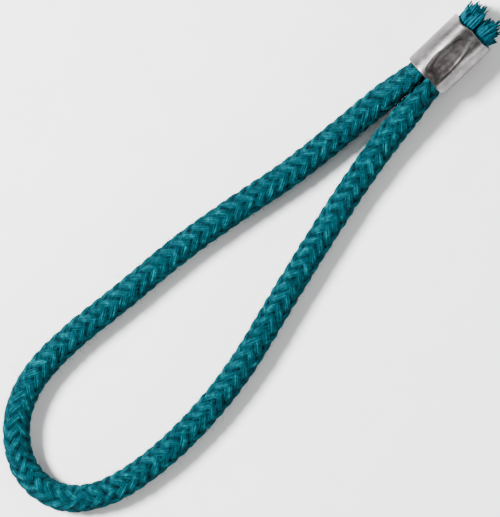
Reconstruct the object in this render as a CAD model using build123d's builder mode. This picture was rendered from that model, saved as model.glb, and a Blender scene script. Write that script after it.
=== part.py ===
from build123d import *
import math
import os

# Crimped cord loop. One length of round braided cord, a sheath over filler yarns, is folded into a loop.
# Both ends are pressed side by side into a metal ferrule, and their cut yarns fray out of its far side.
#
# The loop lies flat. Z = 0 is the surface under it, the ferrule points along +X with its crimp upwards, and
# the origin is under the middle of the object. Left is +Y, seen from the loop towards the ferrule.

os.makedirs("parts", exist_ok=True)

# Ferrule, in mm
ferrule_length = 11.6
ferrule_radius = 4.5
ferrule_wall = 0.65
mouth = (44.4, 3.5, 4.5)            # centre of the end that the loop comes out of

# Crimp: one long round-bottomed dent in the top of the ferrule. The tool that presses it is a bar with a
# round section, whose axis runs above the ferrule. Each pair is a distance along the ferrule from its mouth,
# and the dent's depth there. The dent runs out over the far rim.
dent_profile = [(0.6, 0.0), (1.6, 0.9), (3.0, 1.4), (8.2, 1.4), (10.2, 0.8), (12.6, 0.35)]
tool_height = 5.2                   # the tool's axis above the ferrule's axis

# Cord
cord_radius = 2.5
sheath_wall = 0.8
core_yarn_count = 4
core_yarn_radius = 0.66
clearance = 0.04                    # between neighbouring pieces that only press on each other

# Squeezed leg: its outline leans inwards at the top and bottom, to follow the round bore
leg_centre = 1.9                    # from the ferrule's axis
leg_half_width = 1.85
leg_half_height = 3.4
leg_lean = 0.72

# Frayed ends: how far they stand out of the ferrule, and how much their outline shrinks towards the tips
left_fray_length = 4.2
right_fray_length = 3.4
fray_inset = 0.25
fray_tip_inset = 0.7

# The cord's route from the left side of the mouth round the loop to the right side of the mouth. The first
# and last points are in the mouth, where the legs are squeezed. Between the second and the last but one, the
# cord is round.
route = [
    (44.4, 5.4, 4.5),
    (35.5, 6.1, 3.7),
    (26.5, 6.8, 2.6),
    (15.5, 7.6, 2.5),
    (3.5, 9.8, 2.5),
    (-9.5, 11.8, 2.5),
    (-22.5, 12.5, 2.5),
    (-35.0, 13.8, 2.5),
    (-45.5, 13.4, 2.5),
    (-53.4, 9.7, 2.5),
    (-58.5, 2.3, 2.5),
    (-57.5, -5.9, 2.5),
    (-51.2, -11.0, 2.5),
    (-41.2, -13.2, 2.5),
    (-29.0, -13.3, 2.5),
    (-16.5, -11.7, 2.5),
    (-3.5, -8.0, 2.5),
    (9.0, -4.7, 2.5),
    (22.5, -1.4, 2.5),
    (35.0, 0.9, 3.6),
    (44.4, 1.6, 4.5),
]

arc_share = 0.45                    # of the shorter run beside a corner, taken up by the corner's arc

# Worked out from the above
bore_radius = ferrule_radius - ferrule_wall
core_radius = cord_radius - sheath_wall
LEFT, RIGHT = 1, -1


def dent_solid(margin):
    """The space that the crimping tool takes, larger all round by a margin."""
    gap = tool_height - ferrule_radius
    reach = [(mouth[0] + station, gap + depth + margin) for station, depth in dent_profile]
    (first_x, first_radius), (last_x, last_radius) = reach[0], reach[-1]
    tool_axis = mouth[2] + tool_height
    with BuildPart() as tool:
        with BuildSketch(Plane.XZ.offset(-mouth[1])):
            with BuildLine():
                Polyline((last_x, tool_axis), (first_x, tool_axis), (first_x, tool_axis - first_radius))
                Spline(*[(along, tool_axis - radius) for along, radius in reach])
                Line((last_x, tool_axis - last_radius), (last_x, tool_axis))
            make_face()
        revolve(axis=Axis((mouth[0], mouth[1], tool_axis), (1, 0, 0)))
    return tool.part


def dented_bar(radius, margin):
    """A round bar as long as the ferrule, with the crimp pressed into its top."""
    with BuildPart() as bar:
        with BuildSketch(Plane.YZ.offset(mouth[0])):
            with Locations((mouth[1], mouth[2])):
                Circle(radius)
        extrude(amount=ferrule_length)
        add(dent_solid(margin), mode=Mode.SUBTRACT)
    return bar.part


def squeezed_section(side, inset, count=24):
    """Points (y, z) of a leg squeezed into half of the bore, smaller by an inset."""
    points = []
    for index in range(count):
        angle = 2 * math.pi * index / count
        across, up = math.cos(angle), math.sin(angle)
        offset = leg_centre - leg_lean * up**2 + (leg_half_width - inset) * across
        points.append((mouth[1] + side * offset, mouth[2] + (leg_half_height - inset) * up))
    return points


def round_section(side, radius, count=24):
    """Points of a circle in its own plane, in step with those of squeezed_section."""
    angles = [2 * math.pi * index / count for index in range(count)]
    return [(side * radius * math.cos(angle), radius * math.sin(angle)) for angle in angles]


def outline(plane, points):
    """A closed smooth outline on a plane, as a sketch."""
    with BuildSketch(plane) as section:
        with BuildLine():
            Spline(*points, periodic=True)
        make_face()
    return section.sketch


def neck_plane(side):
    """Plane of the end face of the round cord, at the leg on one side."""
    start, inner = (route[1], route[2]) if side == LEFT else (route[-2], route[-3])
    return Plane(origin=start, x_dir=(0, 1, 0), z_dir=Vector(*start) - Vector(*inner))


def neck_sections(side):
    """The round end face of the cord and the leg's outline in the mouth."""
    in_mouth = outline(Plane.YZ.offset(mouth[0]), squeezed_section(side, 0))
    return [outline(neck_plane(side), round_section(side, cord_radius)), in_mouth]


# Path of the round cord: straight runs joined by arcs as large as the runs allow
round_route = [Vector(*point) for point in route[1:-1]]
corner_radii = []
for before, corner, after in zip(round_route, round_route[1:], round_route[2:]):
    turn = math.radians((corner - before).get_angle(after - corner))
    shorter_run = min((corner - before).length, (after - corner).length)
    corner_radii.append(arc_share * shorter_run / math.tan(turn / 2))
print("cord arc radii, mm:", [round(radius, 1) for radius in corner_radii])

with BuildLine() as cord_line:
    FilletPolyline(*round_route, radius=corner_radii)
cord_path = cord_line.wire()
start_plane = Plane(origin=cord_path @ 0, z_dir=cord_path % 0)

# Ferrule
with BuildPart() as ferrule:
    add(dented_bar(ferrule_radius, 0))
    add(dented_bar(bore_radius, ferrule_wall), mode=Mode.SUBTRACT)
ferrule.part.label = "ferrule"
export_step(ferrule.part, "parts/ferrule.step")

# Braided sheath along the loop
with BuildPart() as sheath_loop:
    with BuildSketch(start_plane):
        Circle(cord_radius)
        Circle(core_radius, mode=Mode.SUBTRACT)
    sweep(path=cord_path)
sheath_loop.part.label = "sheath_loop"
export_step(sheath_loop.part, "parts/sheath_loop.step")

straight_volume = math.pi * (cord_radius**2 - core_radius**2) * cord_path.length
print("round cord length, mm:", round(cord_path.length, 2))
print("sheath volume / section x length:", round(sheath_loop.part.volume / straight_volume, 4))

# Filler yarns of the core, side by side inside the sheath
core_ring_radius = core_radius - clearance - core_yarn_radius
for index in range(core_yarn_count):
    angle = math.radians(45 + 360 / core_yarn_count * index)
    centre = (core_ring_radius * math.cos(angle), core_ring_radius * math.sin(angle))
    with BuildPart() as core_yarn:
        with BuildSketch(start_plane):
            with Locations(centre):
                Circle(core_yarn_radius)
        sweep(path=cord_path)
    core_yarn.part.label = f"core_yarn_{index + 1}"
    export_step(core_yarn.part, f"parts/core_yarn_{index + 1}.step")

# Legs: sheath and core pressed together, a neck outside the mouth and half of the bore inside it
for side, name in [(LEFT, "left"), (RIGHT, "right")]:
    middle = Plane(origin=(0, mouth[1] + side * clearance / 2, 0), z_dir=(0, side, 0))
    with BuildPart() as leg:
        add(dented_bar(bore_radius - clearance, ferrule_wall + clearance))
        split(bisect_by=middle, keep=Keep.TOP)
        loft(neck_sections(side))
    leg.part.label = f"{name}_leg"
    export_step(leg.part, f"parts/{name}_leg.step")

# Frayed ends: plain solids of the space that the loose yarns fill
for side, name, length in [(LEFT, "left", left_fray_length), (RIGHT, "right", right_fray_length)]:
    rim = mouth[0] + ferrule_length
    root = outline(Plane.YZ.offset(rim), squeezed_section(side, fray_inset))
    tips = outline(Plane.YZ.offset(rim + length), squeezed_section(side, fray_tip_inset))
    with BuildPart() as frayed_end:
        loft([root, tips])
    frayed_end.part.label = f"{name}_frayed_end"
    export_step(frayed_end.part, f"parts/{name}_frayed_end.step")
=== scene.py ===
import math

import bpy
import numpy as np
from mathutils import Matrix, Vector


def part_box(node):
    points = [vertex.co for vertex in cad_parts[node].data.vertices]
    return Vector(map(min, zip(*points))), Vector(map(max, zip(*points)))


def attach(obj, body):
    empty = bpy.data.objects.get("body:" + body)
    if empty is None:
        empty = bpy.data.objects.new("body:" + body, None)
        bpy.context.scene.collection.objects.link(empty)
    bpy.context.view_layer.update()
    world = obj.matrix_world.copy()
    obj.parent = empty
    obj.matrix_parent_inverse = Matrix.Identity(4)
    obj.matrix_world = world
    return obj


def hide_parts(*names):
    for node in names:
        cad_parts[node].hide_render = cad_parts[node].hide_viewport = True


# Crimped cord loop: a braided cord folded into a loop, with both ends in one dented metal ferrule.
# Lengths in this script are in millimetres until a mesh is made, and MM turns them into metres.

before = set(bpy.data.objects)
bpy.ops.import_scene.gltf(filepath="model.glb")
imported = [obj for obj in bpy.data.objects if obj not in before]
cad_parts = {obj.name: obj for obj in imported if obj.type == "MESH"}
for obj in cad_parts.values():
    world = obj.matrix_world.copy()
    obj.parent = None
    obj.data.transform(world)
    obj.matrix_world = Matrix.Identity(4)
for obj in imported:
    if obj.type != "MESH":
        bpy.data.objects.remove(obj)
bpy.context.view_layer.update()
MM = 0.001

# ---------------------------------------------------------------- sizes, from the frame

ferrule_low, ferrule_high = (np.array(corner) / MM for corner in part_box("ferrule"))
MOUTH_X = ferrule_low[0]
RIM_X = ferrule_high[0]
AXIS_Y = (ferrule_low[1] + ferrule_high[1]) / 2
FERRULE_LENGTH = RIM_X - MOUTH_X
FERRULE_RADIUS = (ferrule_high[1] - ferrule_low[1]) / 2
AXIS_Z = FERRULE_RADIUS
FERRULE_WALL = 0.65
BORE_RADIUS = FERRULE_RADIUS - FERRULE_WALL

CORD_RADIUS = 2.5
LEG_HALF_WIDTH = 1.88
LEG_HALF_HEIGHT = 3.4
LEG_LEAN = 0.7
NECK_LENGTH = 9.0
LEFT, RIGHT = 1, -1

# The cord's route, from the left side of the ferrule's mouth round the loop to the right side
ROUTE = [
    (44.4, 5.4, 4.5),
    (35.5, 6.1, 3.7),
    (26.5, 6.8, 2.6),
    (15.5, 7.6, 2.5),
    (3.5, 9.8, 2.5),
    (-9.5, 11.8, 2.5),
    (-22.5, 12.5, 2.5),
    (-35.0, 13.8, 2.5),
    (-45.5, 13.4, 2.5),
    (-53.4, 9.7, 2.5),
    (-58.5, 2.3, 2.5),
    (-57.5, -5.9, 2.5),
    (-51.2, -11.0, 2.5),
    (-41.2, -13.2, 2.5),
    (-29.0, -13.3, 2.5),
    (-16.5, -11.7, 2.5),
    (-3.5, -8.0, 2.5),
    (9.0, -4.7, 2.5),
    (22.5, -1.4, 2.5),
    (35.0, 0.9, 3.6),
    (44.4, 1.6, 4.5),
]

# ---------------------------------------------------------------- camera

VIEW_CENTRE = Vector((-1.14, 1.68, 3.0)) * MM
VIEW_TURN = math.radians(43.87)     # how far the ferrule's axis is turned up from the picture's right
VIEW_TILT = math.radians(8.0)       # the camera leans towards the ferrule's far end
VIEW_DISTANCE = 645.0 * MM
VIEW_LENS = 250.0


def make_camera():
    camera = bpy.data.objects.new("camera", bpy.data.cameras.new("camera"))
    bpy.context.scene.collection.objects.link(camera)
    towards_camera = Vector((math.sin(VIEW_TILT), 0, math.cos(VIEW_TILT)))
    flat_up = Vector((math.sin(VIEW_TURN), math.cos(VIEW_TURN), 0))
    picture_right = flat_up.cross(towards_camera).normalized()
    picture_up = towards_camera.cross(picture_right)
    turn = Matrix((picture_right, picture_up, towards_camera)).transposed()
    camera.matrix_world = Matrix.Translation(VIEW_CENTRE + towards_camera * VIEW_DISTANCE) @ turn.to_4x4()
    camera.data.lens = VIEW_LENS
    camera.data.clip_start = 0.01
    bpy.context.scene.camera = camera


make_camera()

# ---------------------------------------------------------------- the cord's line


def cord_line(step):
    """Points along the route's smooth line, evenly spaced, in mm."""
    curve = bpy.data.curves.new("cord_route", "CURVE")
    curve.dimensions = "3D"
    curve.resolution_u = 48
    spline = curve.splines.new("NURBS")
    spline.points.add(len(ROUTE) - 1)
    for point, place in zip(spline.points, ROUTE):
        point.co = (*place, 1.0)
    spline.order_u = 3
    spline.use_endpoint_u = True
    carrier = bpy.data.objects.new("cord_route", curve)
    mesh = bpy.data.meshes.new_from_object(carrier)
    line = np.array([vertex.co for vertex in mesh.vertices])
    bpy.data.objects.remove(carrier)
    bpy.data.meshes.remove(mesh)
    along = np.concatenate([[0], np.cumsum(np.linalg.norm(np.diff(line, axis=0), axis=1))])
    even = np.linspace(0, along[-1], int(along[-1] / step) + 1)
    return even, np.stack([np.interp(even, along, line[:, axis]) for axis in range(3)], axis=1)


def unit(vectors):
    return vectors / np.linalg.norm(vectors, axis=-1, keepdims=True)


LINE_STEP = 0.25
LINE_AT, LINE = cord_line(LINE_STEP)
LINE_LENGTH = LINE_AT[-1]
LINE_AHEAD = unit(np.gradient(LINE, axis=0))
LINE_OUT = unit(np.cross(LINE_AHEAD, (0, 0, 1)))     # away from the middle of the loop
LINE_UP = np.cross(LINE_OUT, LINE_AHEAD)


def on_line(at, values):
    """Values along the line at distances from its start. Past its ends, the line runs straight on."""
    return np.stack([np.interp(at, LINE_AT, values[:, axis]) for axis in range(3)], axis=-1)


def cord_point(at, angle, radius):
    """Place of a point of the round cord, squeezed to the shape of a leg near the ferrule's mouth."""
    centre, out, up = on_line(at, LINE), on_line(at, LINE_OUT), on_line(at, LINE_UP)
    beyond = np.minimum(at, 0) + np.maximum(at - LINE_LENGTH, 0)
    centre = centre + beyond[..., None] * on_line(at, LINE_AHEAD)
    to_mouth = np.minimum(at, LINE_LENGTH - at)
    squeeze = 1 - np.clip(to_mouth / NECK_LENGTH, 0, 1)
    squeeze = squeeze * squeeze * (3 - 2 * squeeze)
    across, rise = radius * np.cos(angle), radius * np.sin(angle)
    lean = squeeze * LEG_LEAN * (rise / CORD_RADIUS) ** 2
    to_wall = 1 + squeeze * (LEG_HALF_WIDTH / CORD_RADIUS - 1)
    to_other_leg = np.minimum(np.abs(centre[..., 1] - AXIS_Y) / CORD_RADIUS, 1)
    at_legs = to_mouth < 2 * NECK_LENGTH
    across = across * np.where(across > 0, to_wall, np.where(at_legs, to_other_leg, 1)) - lean
    rise = rise * (1 + squeeze * (LEG_HALF_HEIGHT / CORD_RADIUS - 1))
    return centre + across[..., None] * out + rise[..., None] * up


# ---------------------------------------------------------------- meshes


def new_piece(name, points, faces, material, along=None, painted_shading=None):
    """A smooth piece on the root body from points in mm. along, and a weight for painted shade and painted
    reflection, are stored for its material.
    """
    mesh = bpy.data.meshes.new(name)
    mesh.from_pydata((points * MM).tolist(), [], faces)
    mesh.polygons.foreach_set("use_smooth", [True] * len(mesh.polygons))
    if along is not None:
        layer = mesh.attributes.new("along", "FLOAT_VECTOR", "POINT")
        layer.data.foreach_set("vector", along.astype(np.float32).ravel())
    layer = mesh.attributes.new("painted_shading", "FLOAT", "POINT")
    values = np.ones(len(points)) if painted_shading is None else painted_shading
    layer.data.foreach_set("value", values.astype(np.float32))
    mesh.materials.append(material)
    mesh.validate()
    piece = bpy.data.objects.new(name, mesh)
    bpy.context.scene.collection.objects.link(piece)
    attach(piece, "root")
    return piece


def tubes(paths, radii, towards, sides):
    """Closed tubes. paths is (tube, point, xyz), radii is (tube, point) and towards isn't along any path."""
    count, length = paths.shape[:2]
    ahead = unit(np.gradient(paths, axis=1))
    towards = towards - (towards * ahead).sum(-1, keepdims=True) * ahead
    normal = unit(towards)
    side = np.cross(ahead, normal)
    angles = 2 * np.pi * np.arange(sides) / sides
    ring = np.cos(angles)[:, None] * normal[:, :, None] + np.sin(angles)[:, None] * side[:, :, None]
    points = (paths[:, :, None] + radii[:, :, None, None] * ring).reshape(-1, 3)
    tube, place, corner = np.meshgrid(range(count), range(length - 1), range(sides), indexing="ij")
    start = (tube * length + place) * sides
    following = (corner + 1) % sides
    beyond = start + sides
    quads = np.stack([start + corner, start + following, beyond + following, beyond + corner], -1)
    faces = quads.reshape(-1, 4).tolist()
    for index in range(count):
        first = index * length * sides
        last = first + (length - 1) * sides
        faces.append(list(range(first + sides - 1, first - 1, -1)))
        faces.append(list(range(last, last + sides)))
    return points, faces


# ---------------------------------------------------------------- materials


def srgb(red, green, blue):
    """A colour given in 0-255 display values, as linear RGBA."""
    shares = [value / 255 for value in (red, green, blue)]
    linear = [share / 12.92 if share <= 0.04045 else ((share + 0.055) / 1.055) ** 2.4 for share in shares]
    return (*linear, 1.0)


class Shader:
    """A new node material, with short calls to add and join its nodes."""

    def __init__(self, name, **settings):
        self.material = bpy.data.materials.new(name)
        self.material.use_nodes = True
        self.tree = self.material.node_tree
        self.surface = self.tree.nodes["Principled BSDF"]
        for socket, value in settings.items():
            self.surface.inputs[socket.replace("_", " ")].default_value = value

    def add(self, kind, inputs=(), **settings):
        """A node. inputs maps its sockets to values, or to other nodes' outputs."""
        node = self.tree.nodes.new(kind)
        for setting, value in settings.items():
            setattr(node, setting, value)
        for socket, value in dict(inputs).items():
            if isinstance(value, bpy.types.NodeSocket):
                self.tree.links.new(value, node.inputs[socket])
            else:
                node.inputs[socket].default_value = value
        return node

    def ramp(self, factor, stops):
        """A colour ramp over a factor; stops are (place, colour)."""
        node = self.add("ShaderNodeValToRGB", {"Fac": factor})
        elements = node.color_ramp.elements
        for index, (place, colour) in enumerate(stops):
            element = elements[index] if index < 2 else elements.new(place)
            element.position = place
            element.color = colour
        return node.outputs["Color"]

    def maths(self, operation, first, second=0.0, third=0.0):
        node = self.add("ShaderNodeMath", {0: first, 1: second, 2: third}, operation=operation)
        return node.outputs[0]

    def noise(self, vector, scale, detail=3.0, roughness=0.6):
        inputs = {"Vector": vector, "Scale": scale, "Detail": detail, "Roughness": roughness}
        return self.add("ShaderNodeTexNoise", inputs).outputs["Fac"]

    def join(self, output, socket):
        self.tree.links.new(output, self.surface.inputs[socket])


def yarn_material(name, dark, body, light):
    """Fuzzy dyed cotton, darkened by painted shade where its stored shading value is low. "along" holds the
    distance along, the turn round the yarn and the yarn's number.
    """
    shader = Shader(name, Roughness=0.95, Sheen_Weight=0.015, Sheen_Roughness=0.5, Specular_IOR_Level=0.06)
    along = shader.add("ShaderNodeAttribute", attribute_name="along").outputs["Vector"]
    place = shader.add("ShaderNodeTexCoord").outputs["Object"]
    stretched = shader.add("ShaderNodeMapping", {"Vector": along, "Scale": (1.6, 5.0, 7.3)}).outputs["Vector"]
    fibres = shader.noise(stretched, 1.6, 4.0, 0.7)
    patches = shader.noise(place, 900.0, 4.0, 0.7)
    parts = shader.add("ShaderNodeSeparateXYZ", {"Vector": along})
    own_number = shader.add("ShaderNodeCombineXYZ", {"X": parts.outputs["Z"]}).outputs["Vector"]
    number = shader.noise(own_number, 3.7, 0.0)
    painted_shading = shader.add("ShaderNodeAttribute", attribute_name="painted_shading").outputs["Fac"]
    tone = shader.maths("MULTIPLY_ADD", fibres, 0.5, -0.86)
    tone = shader.maths("MULTIPLY_ADD", patches, 0.95, tone)
    tone = shader.maths("MULTIPLY_ADD", number, 0.25, tone)
    # painted shade: darker deep in the braid's crevices and on each yarn's inner side, lighter where a strand
    # rides out
    tone = shader.maths("MULTIPLY_ADD", painted_shading, 0.6, tone)
    colour = shader.ramp(tone, [(0.12, dark), (0.5, body), (0.85, light)])
    shader.join(colour, "Base Color")
    fuzz_height = shader.maths("MULTIPLY_ADD", patches, 1.2, fibres)
    bump = shader.add("ShaderNodeBump", {"Height": fuzz_height, "Strength": 0.7, "Distance": 0.00014})
    shader.join(bump.outputs["Normal"], "Normal")
    return shader.material


def metal_material():
    """Satin plated metal with fine lengthwise scratches, mottling, dull handling marks and a painted dark
    reflection on the dent's floor.
    """
    shader = Shader("ferrule_satin", Metallic=1.0)
    place = shader.add("ShaderNodeTexCoord").outputs["Object"]
    drawn = shader.add("ShaderNodeMapping", {"Vector": place, "Scale": (140.0, 2600.0, 2600.0)})
    scratches = shader.noise(drawn.outputs["Vector"], 1.0, 4.0, 0.65)
    mottling = shader.noise(place, 620.0, 5.0, 0.62)
    clouds = shader.noise(place, 210.0, 2.0, 0.5)
    tone = shader.maths("MULTIPLY_ADD", clouds, 0.55, shader.maths("MULTIPLY", mottling, 0.45))
    dent_painted_reflection = shader.add("ShaderNodeAttribute", attribute_name="painted_shading").outputs["Fac"]
    # painted reflection: the dent's floor is darkened in colour, standing in for the dark that it mirrors
    tone = shader.maths("MULTIPLY_ADD", dent_painted_reflection, -0.22, tone)
    tone = shader.maths("MULTIPLY_ADD", scratches, 0.12, shader.maths("SUBTRACT", tone, 0.06))
    dark, body, light = srgb(58, 54, 53), srgb(106, 103, 103), srgb(144, 142, 141)
    colour = shader.ramp(tone, [(0.2, dark), (0.48, body), (0.65, light)])
    shader.join(colour, "Base Color")
    rough = shader.maths("MULTIPLY_ADD", scratches, 0.18, 0.19)
    shader.join(shader.maths("MULTIPLY_ADD", mottling, 0.16, rough), "Roughness")
    height = shader.maths("MULTIPLY_ADD", scratches, 0.5, mottling)
    bump = shader.add("ShaderNodeBump", {"Height": height, "Strength": 0.35, "Distance": 0.00006})
    shader.join(bump.outputs["Normal"], "Normal")
    return shader.material


COTTON = yarn_material("cord_cotton", srgb(0, 20, 27), srgb(0, 61, 70), srgb(4, 124, 131))
# A darker copy of the cord's teal: painted shade for the core seen between the strands and for the legs
# inside the ferrule
SHADED_CORE_COTTON = yarn_material("core_cotton_painted_shade", srgb(0, 8, 12), srgb(0, 26, 32), srgb(0, 52, 60))
CUT_COTTON = yarn_material("cut_cotton", srgb(0, 24, 32), srgb(2, 56, 68), srgb(8, 96, 114))
METAL = metal_material()

# ---------------------------------------------------------------- braid

CARRIERS = 8                # strands each way
YARNS = 4                   # yarns side by side in a strand
BRAID_LEAD = 19.2           # length of cord in which a strand goes once round
BRAID_MIDDLE = 2.12         # radius at which the strands cross
BRAID_LIFT = 0.12           # how far a strand goes out over the ones that it crosses
STRAND_CROWN = 0.09         # how much a strand's middle yarns stand out
YARN_RADIUS = 0.22
YARN_PITCH = 0.32           # from yarn to yarn across a strand
DARKEST_SHADE_RADIUS = 1.95              # radius at which the painted shade in the braid's crevices is darkest
HIDDEN_END = 0.9            # how far the strands run on inside the ferrule
BRAID_STEP = 0.45
FIRST_COLUMN = math.radians(90)     # a seam between float columns runs along the top of the cord
CARRIER_START = 0.25        # how far each set is moved round at the start, as a share of the spacing
FLOAT_FLATNESS = 2.0        # how long a strand stays out or in before it crosses over
YARN_SIDES = 6
YARN_PAINTED_SHADE = 0.5          # how much a yarn's own roundness counts in its painted shade, which darkens its inner side
COLUMN_TWIST = math.radians(45)
TWIST_MIDDLE = 0.46         # where the cord has done half of its twist, as a share of its length
TWIST_LENGTH = 6.0          # most of the twist falls within four times this length


def wander(at, seed, count, wave, amount):
    """Slow smooth random values, one row for each of count yarns, along the cord."""
    random = np.random.default_rng(seed)
    phases = random.uniform(0, 2 * np.pi, (count, 3, 1))
    waves = wave * random.uniform(0.7, 1.6, (count, 3, 1))
    return amount * np.sin(2 * np.pi * at / waves + phases).mean(axis=1)


def column_twist(at):
    """How far the float columns have turned, because the cord twists as it goes round the bend."""
    return COLUMN_TWIST / (1 + np.exp(-(at - TWIST_MIDDLE * LINE_LENGTH) / TWIST_LENGTH))


def braid_half(name, way, seed):
    """All strands that run one way round the cord: way is 1 or -1."""
    at = np.arange(-HIDDEN_END, LINE_LENGTH + HIDDEN_END, BRAID_STEP)
    count = CARRIERS * YARNS
    carrier = np.repeat(np.arange(CARRIERS), YARNS)[:, None]
    place = np.tile(np.arange(YARNS) - (YARNS - 1) / 2, CARRIERS)[:, None]
    first_turn = 2 * np.pi * (carrier + CARRIER_START * way) / CARRIERS
    turn = way * 2 * np.pi * at / BRAID_LEAD + first_turn
    wave = np.sin(CARRIERS / 2 * (turn - FIRST_COLUMN - column_twist(at)))
    lift = way * BRAID_LIFT * np.tanh(FLOAT_FLATNESS * wave) / np.tanh(FLOAT_FLATNESS)
    crown = STRAND_CROWN * (1 - (2 * place / (YARNS - 1)) ** 2)
    lean = math.atan(2 * math.pi * BRAID_MIDDLE / BRAID_LEAD)
    spread = place * YARN_PITCH / (BRAID_MIDDLE * math.cos(lean))
    strand_turns = np.repeat(wander(at, seed + 1, CARRIERS, wave=17.0, amount=0.08), YARNS, 0)
    strand_lifts = np.repeat(wander(at, seed + 3, CARRIERS, wave=11.0, amount=0.04), YARNS, 0)
    angle = turn + spread + wander(at, seed, count, wave=9.0, amount=0.05) + strand_turns
    radius = BRAID_MIDDLE + lift + crown + wander(at, seed + 2, count, wave=5.0, amount=0.06) + strand_lifts
    along = np.broadcast_to(at, angle.shape)
    paths = cord_point(along, angle, radius)
    centres = cord_point(along, angle, np.zeros_like(radius))
    radii = YARN_RADIUS * (1 + wander(at, seed + 4, count, wave=3.0, amount=0.16))
    points, faces = tubes(paths, radii, paths - centres, YARN_SIDES)
    number = np.repeat(np.arange(count, dtype=float), len(at) * YARN_SIDES)
    ring = np.arange(YARN_SIDES) / YARN_SIDES
    rings = np.tile(ring, count * len(at))
    store = np.stack([np.repeat(along.ravel(), YARN_SIDES), rings, number + seed], axis=1)
    # painted shade for the material: darker where a yarn lies deep in the braid and on its inner side
    height = radius[..., None] + YARN_PAINTED_SHADE * radii[..., None] * np.cos(2 * np.pi * ring)
    painted_shading = (height.ravel() - DARKEST_SHADE_RADIUS) / (CORD_RADIUS - DARKEST_SHADE_RADIUS)
    return new_piece(name, points, faces, COTTON, store, painted_shading)


strands_left = braid_half("sheath_strands_left_lay", 1, 11)
strands_right = braid_half("sheath_strands_right_lay", -1, 41)

# ---------------------------------------------------------------- core

CORE_YARNS = 4
CORE_RING = 0.85
CORE_YARN_RADIUS = 0.88
CORE_LEAD = 60.0            # length of cord in which a filler yarn goes once round
CORE_STEP = 1.0
CORE_SIDES = 10


def core_yarn(index):
    """One filler yarn inside the sheath, twisted slowly round the others."""
    at = np.arange(NECK_LENGTH, LINE_LENGTH - NECK_LENGTH, CORE_STEP)[None, :]
    angle = 2 * np.pi * (at / CORE_LEAD + index / CORE_YARNS)
    paths = cord_point(at, angle, np.full_like(at, CORE_RING))
    centres = cord_point(at, angle, np.zeros_like(at))
    points, faces = tubes(paths, np.full_like(at, CORE_YARN_RADIUS), paths - centres, CORE_SIDES)
    rings = np.tile(np.arange(CORE_SIDES) / CORE_SIDES, at.size)
    number = np.full(at.size * CORE_SIDES, float(index))
    store = np.stack([np.repeat(at.ravel(), CORE_SIDES), rings, number], axis=1)
    # coloured with the darker painted-shade copy of the cord's teal
    piece = new_piece(f"core_filler_{index + 1}", points, faces, SHADED_CORE_COTTON, store)
    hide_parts(f"core_yarn_{index + 1}")
    return piece


core_pieces = [core_yarn(index) for index in range(CORE_YARNS)]

# ---------------------------------------------------------------- ferrule

# A station is a distance along the ferrule from its mouth, and an offset is to the left of its axis.

# The dent, with a nearly flat floor
DENT_DEPTH = 1.0
DENT_MIDDLE, DENT_HALF_LENGTH = 5.65, 3.45      # stations
DENT_OFFSET, DENT_DRIFT = -0.55, 0.05           # offset of its middle line, and how far that drifts in 1 mm
DENT_HALF_WIDTH = 1.6
DENT_NARROWS = 0.22                             # share of its width lost at its far end
NARROWING_START, NARROWING_LENGTH = 3.0, 5.0
DENT_SQUARENESS = 3                             # 2 would make its outline an ellipse
FLOOR_LEAN = 0.05                               # how much its floor rises in 1 mm to the right
FLOOR_RISE = 0.03                               # and in 1 mm along
DENT_WALL = 0.3                                 # width of its wall, as a share of its half width
RIGHT_WALL_EXTRA, MOUTH_WALL_EXTRA = 0.5, 0.2   # how much wider the wall is on the right and at the mouth
MOUTH_WALL_STATION, MOUTH_WALL_LENGTH = 3.5, 3.0

# Shallow valley round the dent, which runs over the far rim
GROOVE_DEPTH, GROOVE_HALF_WIDTH = 0.6, 1.9
GROOVE_OFFSET = -0.4
GROOVE_NEAR_SHARE = 0.35                        # its depth near the mouth, as a share of that at the rim
GROOVE_FADE_IN = 2.5                            # length from the mouth over which it fades in
GROOVE_DEEPENS, GROOVE_DEEPENING = 5.5, 5.0     # the station where it starts to deepen, and over what length

# Dip in the rim of the mouth, between the two legs
DIP_DEPTH, DIP_OFFSET, DIP_HALF_WIDTH = 0.22, -0.3, 1.3
DIP_START, DIP_LENGTH = -1.0, 4.0               # the station where it starts to fade, and over what length

FLANK_HEIGHT = 1.5          # height over the axis from which the metal takes the valley's full depth
RIM_ROUND = 0.28

# Where the rims are drawn in: how far, the angle round the ferrule from its top, and the half width there
FAR_RIM_PULLS = [(0.42, 0.62, 0.3), (0.2, 5.6, 0.35)]
MOUTH_PULLS = [(0.3, 6.0, 0.3)]


def ease(value):
    """A smooth step from 0 to 1, over values from 0 to 1."""
    limited = np.clip(value, 0, 1)
    return 0.5 - 0.5 * np.cos(np.pi * limited)


def hill(value, middle, half_width):
    """1 at the middle, falling smoothly to 0 on both sides."""
    return np.exp(-(((value - middle) / half_width) ** 2))


def dent_share(station, offset):
    """How far metal is pressed to the dent's flat floor: 1 on the floor, 0 clear of it."""
    middle = DENT_OFFSET + DENT_DRIFT * station
    narrowing = DENT_NARROWS * ease((station - NARROWING_START) / NARROWING_LENGTH)
    half_width = DENT_HALF_WIDTH * (1 - narrowing)
    along = np.abs((station - DENT_MIDDLE) / DENT_HALF_LENGTH) ** DENT_SQUARENESS
    across = np.abs((offset - middle) / half_width) ** DENT_SQUARENESS
    reach = (along + across) ** (1 / DENT_SQUARENESS)
    right_wall = RIGHT_WALL_EXTRA * ease((middle - offset) / half_width)
    mouth_wall = MOUTH_WALL_EXTRA * ease((MOUTH_WALL_STATION - station) / MOUTH_WALL_LENGTH)
    wall = DENT_WALL + right_wall + mouth_wall
    return ease((1 + wall - reach) / wall)


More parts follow.
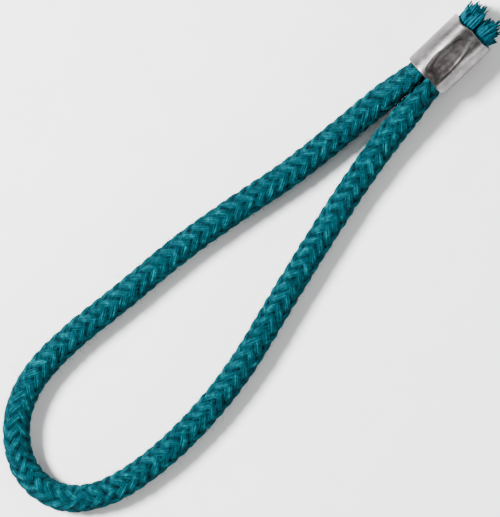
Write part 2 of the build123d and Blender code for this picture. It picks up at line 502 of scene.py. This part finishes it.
def pressed(station, offset, height, radius):
    """Height over the axis of metal at a radius, after the crimp has pressed on it from above."""
    floor = radius - DENT_DEPTH + FLOOR_RISE * station - FLOOR_LEAN * (offset - GROOVE_OFFSET)
    deepening = ease((station - GROOVE_DEEPENS) / GROOVE_DEEPENING)
    along = GROOVE_NEAR_SHARE + (1 - GROOVE_NEAR_SHARE) * deepening
    fade_in = ease(station / GROOVE_FADE_IN)
    groove = GROOVE_DEPTH * along * fade_in * hill(offset, GROOVE_OFFSET, GROOVE_HALF_WIDTH)
    fade_out = 1 - ease((station - DIP_START) / DIP_LENGTH)
    dip = DIP_DEPTH * fade_out * hill(offset, DIP_OFFSET, DIP_HALF_WIDTH)
    open_height = height - (groove + dip) * np.clip(height / FLANK_HEIGHT, 0, 1)
    on_floor = dent_share(station, offset)
    return np.where(height > 0, open_height + on_floor * np.minimum(floor - open_height, 0), height)


def drawn_in(angle, pulls):
    """How far a rim is drawn in, at angles round the ferrule."""
    return sum(pull * hill(angle, *place) for pull, *place in pulls)


def ferrule_piece():
    """The round tube with its rims rounded, dented by the crimp and drawn in a little at its rims."""
    around, corner_steps, wall_steps, inner_edge = 180, 6, 90, 0.05
    bend = np.linspace(0, np.pi / 2, corner_steps)
    rim_height = FERRULE_RADIUS - RIM_ROUND
    far_corner = FERRULE_LENGTH - RIM_ROUND
    outer = [(RIM_ROUND - RIM_ROUND * math.sin(b), rim_height + RIM_ROUND * math.cos(b)) for b in bend[::-1]]
    outer += [(x, FERRULE_RADIUS) for x in np.linspace(RIM_ROUND, far_corner, wall_steps)[1:]]
    outer += [(far_corner + RIM_ROUND * math.sin(b), rim_height + RIM_ROUND * math.cos(b)) for b in bend[1:]]
    inner_runs = np.linspace(0, FERRULE_LENGTH - 2 * inner_edge, wall_steps)
    inner = [(FERRULE_LENGTH - inner_edge - run, BORE_RADIUS) for run in inner_runs]
    profile = np.array(outer + inner)
    angle = 2 * np.pi * np.arange(around) / around
    station, radius = profile[:, :1], profile[:, 1:]
    side, height = radius * np.sin(angle), radius * np.cos(angle)
    far_pull = drawn_in(angle, FAR_RIM_PULLS) * (station / FERRULE_LENGTH) ** 4
    mouth_pull = drawn_in(angle, MOUTH_PULLS) * (1 - station / FERRULE_LENGTH) ** 4
    x = MOUTH_X + station - far_pull + mouth_pull
    z = AXIS_Z + pressed(station, side, height, radius)
    points = np.stack([x, AXIS_Y + side, z], -1).reshape(-1, 3)
    rows = len(profile)
    faces = []
    for row in range(rows):
        for column in range(around):
            following, next_row = (column + 1) % around, (row + 1) % rows
            faces.append((row * around + column, next_row * around + column,
                          next_row * around + following, row * around + following))
    # where the dent's floor is, for the painted dark reflection in the metal's colour
    painted_shading = (dent_share(station, side) * (height > 0)).ravel()
    piece = new_piece("ferrule_crimped", points, faces, METAL, painted_shading=painted_shading)
    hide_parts("ferrule")


ferrule_piece()

# ---------------------------------------------------------------- legs inside the ferrule

PRESSED_NECK_RADIUS = 1.72      # under the braid, where the leg is still round
MOUTH_HALF_WIDTH, MOUTH_HALF_HEIGHT = 1.2, 2.7
WIDER_INSIDE, HIGHER_INSIDE = 0.62, 0.7         # how much more of the bore a leg fills further in
FILLING_LENGTH = 3.0
PRESSED_LEAN = 0.72
PRESSED_CLEAR = 0.06            # between a leg and the dented wall over it


def pressed_leg(name, side, node):
    """The sheath and core of one leg pressed together, from its neck to just inside the far rim."""
    around = 40
    neck_stations = np.linspace(-NECK_LENGTH, 0, 10)
    stations = np.concatenate([neck_stations, np.linspace(0.6, FERRULE_LENGTH - 0.5, 24)])
    angle = 2 * np.pi * np.arange(around) / around
    end_at = np.clip(-stations, 0, NECK_LENGTH)
    at = end_at if side == LEFT else LINE_LENGTH - end_at
    centres = on_line(at, LINE)
    fill = ease(stations / FILLING_LENGTH)[:, None]
    share = 1 - ease((stations + NECK_LENGTH) / NECK_LENGTH)[:, None]
    width = share * PRESSED_NECK_RADIUS + (1 - share) * (MOUTH_HALF_WIDTH + WIDER_INSIDE * fill)
    height = share * PRESSED_NECK_RADIUS + (1 - share) * (MOUTH_HALF_HEIGHT + HIGHER_INSIDE * fill)
    up = np.sin(angle)[None, :]
    offset = width * np.cos(angle)[None, :] - (1 - share) * PRESSED_LEAN * up**2
    rise = height * up
    inside = (stations > 0)[:, None]
    sideways = (centres[:, 1:2] - AXIS_Y) * side + offset
    wall = pressed(stations[:, None], side * sideways, np.maximum(rise, 0), BORE_RADIUS)
    rise = np.where(inside & (rise > 0), np.minimum(rise, wall - PRESSED_CLEAR), rise)
    x = np.where(stations > 0, MOUTH_X + stations, centres[:, 0])[:, None]
    x = np.broadcast_to(x, offset.shape)
    points = np.stack([x, AXIS_Y + side * sideways, centres[:, 2:3] + rise], -1).reshape(-1, 3)
    rows = len(stations)
    faces = []
    for row in range(rows - 1):
        for column in range(around):
            start, following = row * around, (column + 1) % around
            faces.append((start + column, start + following,
                          start + around + following, start + around + column))
    faces.append(list(range(around - 1, -1, -1)))
    faces.append(list(range((rows - 1) * around, rows * around)))
    if side == LEFT:
        faces = [face[::-1] for face in faces]
    store = np.stack([np.repeat(stations, around), np.tile(angle, rows), np.zeros(rows * around)], axis=1)
    # coloured with the darker painted-shade copy of the cord's teal
    piece = new_piece(name, points, faces, SHADED_CORE_COTTON, store)
    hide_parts(node)


pressed_leg("left_pressed_leg", LEFT, "left_leg")
pressed_leg("right_pressed_leg", RIGHT, "right_leg")

# ---------------------------------------------------------------- frayed ends

CUT_ROOT = 1.2              # how far inside the ferrule the modelled cut yarns start
YARNS_IN_CLUMP = 9
YARN_CLEAR = 0.32           # from the middle of a cut yarn to the wall of the bore
FRAY_OPENS = 2.5            # length past the rim in which the cut yarns may spread by a millimetre
GOLDEN_TURN = 0.381966      # share of a turn that spreads the clumps evenly
CUT_YARN_RADIUS = 0.25
CUT_YARN_TAPER = 0.72       # share of the radius lost at the tip
CUT_POINTS, CUT_SIDES = 7, 6

BUNDLE_CENTRE, BUNDLE_HALF_WIDTH, BUNDLE_HALF_HEIGHT = 1.85, 1.6, 3.0
BUNDLE_LEAN = 0.6           # how far its top and bottom lean to the ferrule's axis
BUNDLE_LOWER = 0.6          # how much nearer its top is to the ferrule's axis than its bottom
SPLAY_OUT, SPLAY_UP = 0.06, 0.3
YARN_SPREAD, YARN_CURL = 0.36, 0.22
TIP_GATHER = 0.4            # how far the tips of a clump draw together

# How far the cut yarns stand out of the rim, at offsets in shares of the ferrule's radius. It has two peaks.
FRAY_OUTLINE = [(-1, 0.5), (-0.72, 1.7), (-0.36, 4.5), (-0.06, 2.9), (0.35, 4.0), (0.7, 3.2), (1, 1.9)]


def fray_reach(offset):
    """How far the cut yarns stand out of the rim, at an offset from the ferrule's axis."""
    places, lengths = zip(*FRAY_OUTLINE)
    return np.interp(offset / FERRULE_RADIUS, places, lengths)


def inside_bore(path):
    """The path of a cut yarn, moved off the ferrule's wall, and off the dent in its top, up to the rim."""
    station = path[:, 0] - MOUTH_X
    offset, height = path[:, 1] - AXIS_Y, path[:, 2] - AXIS_Z
    past_rim = ease((station - FERRULE_LENGTH) / FRAY_OPENS)
    room = BORE_RADIUS - YARN_CLEAR + past_rim
    shrink = np.minimum(1, room / np.maximum(np.hypot(offset, height), 1e-6))
    offset, height = offset * shrink, height * shrink
    wall_height = np.sqrt(np.maximum(room**2 - offset**2, 0))
    dented_wall = pressed(np.minimum(station, FERRULE_LENGTH), offset, wall_height, BORE_RADIUS)
    ceiling = dented_wall - YARN_CLEAR + past_rim
    height = np.where(height > 0, np.minimum(height, np.maximum(ceiling, 0)), height)
    return np.stack([path[:, 0], AXIS_Y + offset, AXIS_Z + height], axis=1)


def frayed_end(name, node, side, clumps, seed):
    """Cut yarns standing out of the far rim. They gather in ragged points."""
    random = np.random.default_rng(seed)
    share = np.linspace(0, 1, CUT_POINTS)
    steps = share[:, None]
    paths, radii = [], []
    for number in range(clumps):
        turn = 2 * np.pi * (number * GOLDEN_TURN) + random.uniform(-0.3, 0.3)
        out = math.sqrt((number + 0.5) / clumps)
        up = math.sin(turn) * out
        across = BUNDLE_HALF_WIDTH * math.cos(turn) * out
        offset = side * (BUNDLE_CENTRE + across - BUNDLE_LEAN * up**2)
        rise = BUNDLE_HALF_HEIGHT * up - BUNDLE_LOWER * max(0, up)
        root = np.array([0, AXIS_Y + offset, AXIS_Z + rise])
        splay = np.array([0, SPLAY_OUT * offset, SPLAY_UP * up]) + random.normal(0, 0.1, 3)
        length = (fray_reach(offset * 1.08) + CUT_ROOT) * random.uniform(0.84, 1.0)
        for _ in range(YARNS_IN_CLUMP):
            yarn_length = length * random.uniform(0.8, 1.03)
            start = root + random.normal(0, YARN_SPREAD, 3)
            curl = random.normal(0, YARN_CURL, 3)
            gather = (root - start) * np.array([0, TIP_GATHER, TIP_GATHER])
            path = start + np.array([1.0, 0, 0]) * yarn_length * steps + splay * yarn_length * steps**1.5
            path += gather * steps**1.3 + curl * steps**2 * yarn_length * 0.2
            path[:, 0] += RIM_X - CUT_ROOT - start[0]
            paths.append(inside_bore(path))
            radii.append(CUT_YARN_RADIUS * random.uniform(0.8, 1.2) * (1 - CUT_YARN_TAPER * share**4))
    paths, radii = np.array(paths), np.array(radii)
    towards = np.broadcast_to(np.array([0.1, 0.3, 1.0]), paths.shape)
    points, faces = tubes(paths, radii, towards, CUT_SIDES)
    count = len(paths)
    at = np.repeat(np.tile(np.linspace(0, 4, CUT_POINTS), count), CUT_SIDES)
    yarn = np.repeat(np.arange(count) + seed, CUT_POINTS * CUT_SIDES)
    rings = np.tile(np.arange(CUT_SIDES) / CUT_SIDES, count * CUT_POINTS)
    store = np.stack([at, rings, yarn], axis=1)
    piece = new_piece(name, points, faces, CUT_COTTON, store)
    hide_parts(node)


frayed_end("left_cut_yarns", "left_frayed_end", LEFT, clumps=30, seed=5)
frayed_end("right_cut_yarns", "right_frayed_end", RIGHT, clumps=28, seed=9)

# ---------------------------------------------------------------- loose fibres

FIBRE_ROOT = 2.3                # radius in the cord at which the fibres start
FIBRE_RADIUS = 0.02
FIBRE_TAPER = 0.6               # share of the radius lost at the tip
FIBRE_LOWEST = 0.03             # over the surface
FIBRE_POINTS, FIBRE_SIDES = 5, 3


def loose_fibres(name, count, seed):
    """Fine curved fibres that stand off the cord, as on any cotton braid."""
    random = np.random.default_rng(seed)
    at = random.uniform(0.5, LINE_LENGTH - 0.5, count)
    angle = random.uniform(0, 2 * np.pi, count)
    length = random.uniform(0.5, 1.7, count)
    steps = np.linspace(0, 1, FIBRE_POINTS)
    run = at[:, None] + random.normal(0, 0.75, count)[:, None] * length[:, None] * steps
    turn = angle[:, None] + random.normal(0, 0.22, count)[:, None] * length[:, None] * steps
    stand = random.gamma(1.6, 0.13, count)[:, None]
    radius = FIBRE_ROOT + stand * np.sin(np.pi * 0.75 * steps) * 1.4
    paths = cord_point(run, turn, radius)
    paths[..., 2] = np.maximum(paths[..., 2], FIBRE_LOWEST)
    radii = FIBRE_RADIUS * (1 - FIBRE_TAPER * steps)[None, :] * random.uniform(0.8, 1.3, count)[:, None]
    centres = cord_point(run, turn, np.zeros_like(radius))
    points, faces = tubes(paths, radii, paths - centres, FIBRE_SIDES)
    number = np.repeat(np.arange(count), FIBRE_POINTS * FIBRE_SIDES) * 0.37
    store = np.stack([np.repeat(run.ravel(), FIBRE_SIDES), np.zeros(len(number)), number], axis=1)
    return new_piece(name, points, faces, COTTON, store)


fuzz = loose_fibres("loose_fibres", count=7200, seed=3)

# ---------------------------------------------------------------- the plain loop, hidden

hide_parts("sheath_loop")

# ---------------------------------------------------------------- floor and light


def make_floor():
    """A plain pale sheet, in metres."""
    size = 3.0
    mesh = bpy.data.meshes.new("floor")
    corners = [(-size, -size, 0), (size, -size, 0), (size, size, 0), (-size, size, 0)]
    mesh.from_pydata(corners, [], [(0, 1, 2, 3)])
    shader = Shader("floor_white", Roughness=0.9, Specular_IOR_Level=0.1)
    place = shader.add("ShaderNodeTexCoord").outputs["Object"]
    paper = shader.noise(place, 90.0, 2.0)
    colour = shader.ramp(paper, [(0.3, (0.93, 0.93, 0.93, 1)), (0.7, (0.96, 0.96, 0.96, 1))])
    shader.join(colour, "Base Color")
    mesh.materials.append(shader.material)
    floor = bpy.data.objects.new("floor", mesh)
    bpy.context.scene.collection.objects.link(floor)


def area_light(name, place, size, watts):
    """A round soft light, aimed at the origin. Its place and size are in metres."""
    light = bpy.data.lights.new(name, "AREA")
    light.shape = "DISK"
    light.size = size
    light.energy = watts
    lamp = bpy.data.objects.new(name, light)
    bpy.context.scene.collection.objects.link(lamp)
    lamp.location = place
    lamp.rotation_euler = (-Vector(place)).to_track_quat("-Z", "Y").to_euler()


def make_studio():
    """Soft light from all round, with a darker ceiling that the top of the metal mirrors."""
    world = bpy.data.worlds.new("studio")
    bpy.context.scene.world = world
    world.use_nodes = True
    nodes, links = world.node_tree.nodes, world.node_tree.links
    direction = nodes.new("ShaderNodeTexCoord").outputs["Generated"]
    split = nodes.new("ShaderNodeSeparateXYZ")
    ceiling = nodes.new("ShaderNodeMapRange")
    ceiling.interpolation_type = "SMOOTHSTEP"
    for socket, value in (("From Min", 0.45), ("From Max", 0.95), ("To Min", 0.8), ("To Max", 0.12)):
        ceiling.inputs[socket].default_value = value
    nodes["Background"].inputs["Color"].default_value = (1, 1, 1, 1)
    links.new(direction, split.inputs[0])
    links.new(split.outputs["Z"], ceiling.inputs["Value"])
    links.new(ceiling.outputs["Result"], nodes["Background"].inputs["Strength"])


make_floor()
area_light("key", (-0.18, 0.42, 0.5), size=0.2, watts=21.0)
area_light("fill", (0.45, 0.1, 0.6), size=0.4, watts=1.0)
area_light("edge", (0.12, -0.5, 0.2), size=0.12, watts=1.2)
make_studio()
